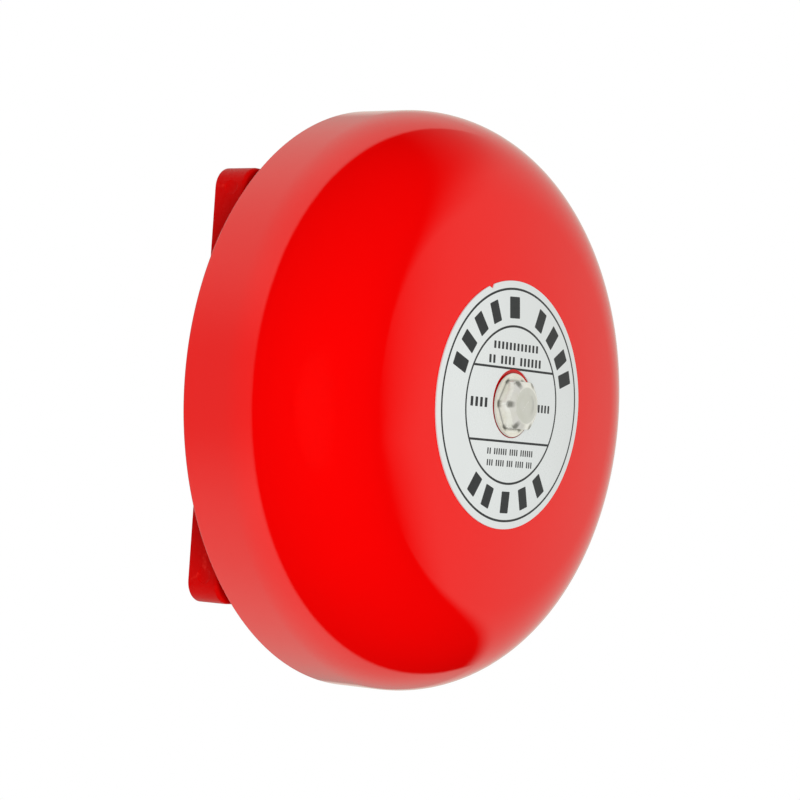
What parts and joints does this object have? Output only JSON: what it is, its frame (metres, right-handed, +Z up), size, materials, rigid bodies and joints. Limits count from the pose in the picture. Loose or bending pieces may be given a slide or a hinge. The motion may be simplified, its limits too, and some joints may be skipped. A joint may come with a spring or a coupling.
{
  "type": "fire alarm bell",
  "caption": "Round red wall bell: a steel gong bolted over a motor-driven cam striker on a square cast base with a rear cable inlet.",
  "frame": {"origin": "centre of the base's rear face, on the wall", "axes": "+Z up, +Y into the wall, -Y out through the gong's dome, +X to the right seen from the wall side of the gong's rim looking along +Y"},
  "size_m": [0.15, 0.0611, 0.15],
  "materials": {
    "gong_enamel": "high-gloss enamel",
    "base_enamel": "gloss enamel on a casting",
    "zinc_plate": "zinc plated",
    "bright_steel": "bright",
    "brass_contact": "tinned and dull",
    "bronze": "sintered, oily",
    "copper": "enamelled wire",
    "ferrite": "matt",
    "label_film": "printed film",
    "rubber": "matt",
    "black_nylon": "moulded",
    "white_nylon": "moulded",
    "board_laminate": "solder mask",
    "terminal_plastic": "moulded",
    "component_sleeve": "shrink sleeve",
    "lead_red": "wire insulation",
    "lead_black": "wire insulation"
  },
  "bodies": {
    "base": {"mounting_base": "base_enamel", "wall_seal": "rubber", "cable_grommet": "rubber", "gong_post": "zinc_plate", "post_washer": "rubber", "chassis_gasket": "rubber", "mechanism_chassis": "black_nylon", "motor_plate": "zinc_plate", "motor_can": "bright_steel", "motor_end_cap": "white_nylon", "motor_magnet_upper": "ferrite", "motor_magnet_lower": "ferrite", "motor_bush_output": "bronze", "motor_bush_rear": "bronze", "motor_brush_left": "bronze", "motor_brush_right": "bronze", "motor_tab_left": "brass_contact", "motor_tab_right": "brass_contact", "motor_clamp": "zinc_plate", "striker_bush_inner": "bronze", "striker_bush_outer": "bronze", "stop_buffer": "rubber", "striker_spring": "bright_steel", "circuit_board": "board_laminate", "terminal_block": "terminal_plastic", "terminal_screw_upper": "brass_contact", "terminal_screw_lower": "brass_contact", "capacitor": "component_sleeve", "diode": "component_sleeve", "lead_positive": "lead_red", "lead_negative": "lead_black", "chassis_screw_1": "zinc_plate", "plate_screw_1": "zinc_plate", "chassis_screw_2": "zinc_plate", "plate_screw_2": "zinc_plate", "chassis_screw_3": "zinc_plate", "plate_screw_3": "zinc_plate", "chassis_screw_4": "zinc_plate", "plate_screw_4": "zinc_plate", "clamp_screw_1": "zinc_plate", "board_screw_1": "zinc_plate", "clamp_screw_2": "zinc_plate", "board_screw_2": "zinc_plate"},
    "gong": {"gong": "gong_enamel", "label": "label_film"},
    "bolt": {"gong_bolt": "zinc_plate"},
    "rotor": {"motor_shaft": "bright_steel", "armature_core": "bright_steel", "armature_coil_1": "copper", "armature_coil_2": "copper", "armature_coil_3": "copper", "commutator": "copper", "snail_cam": "white_nylon"},
    "striker": {"striker_shuttle": "white_nylon", "cam_follower_pin": "bright_steel", "striker_rod": "bright_steel", "spring_collar": "brass_contact", "striker_head": "bright_steel"}
  },
  "joints": [
    {"name": "gong_slide", "type": "slide", "parent": "base", "child": "gong", "axis": [0, -1, 0], "range_m": [0, 0.06]},
    {"name": "bolt_unscrew", "type": "slide", "parent": "gong", "child": "bolt", "axis": [0, -1, 0], "range_m": [0, 0.024]},
    {"name": "motor_spin", "type": "hinge", "parent": "base", "child": "rotor", "pos_m": [0.027, -0.0228, 0], "axis": [0, -1, 0], "range_deg": [0, 330]},
    {"name": "striker_slide", "type": "slide", "parent": "base", "child": "striker", "axis": [-1, 0, 0], "range_m": [0, 0.00312], "stiffness_N_per_m": 150, "springref_m": -0.003, "deforming": ["striker_spring"]}
  ],
  "couplings": [
    {"joint": "motor_spin", "follows": "striker_slide", "rad_per_m": 1848}
  ]
}
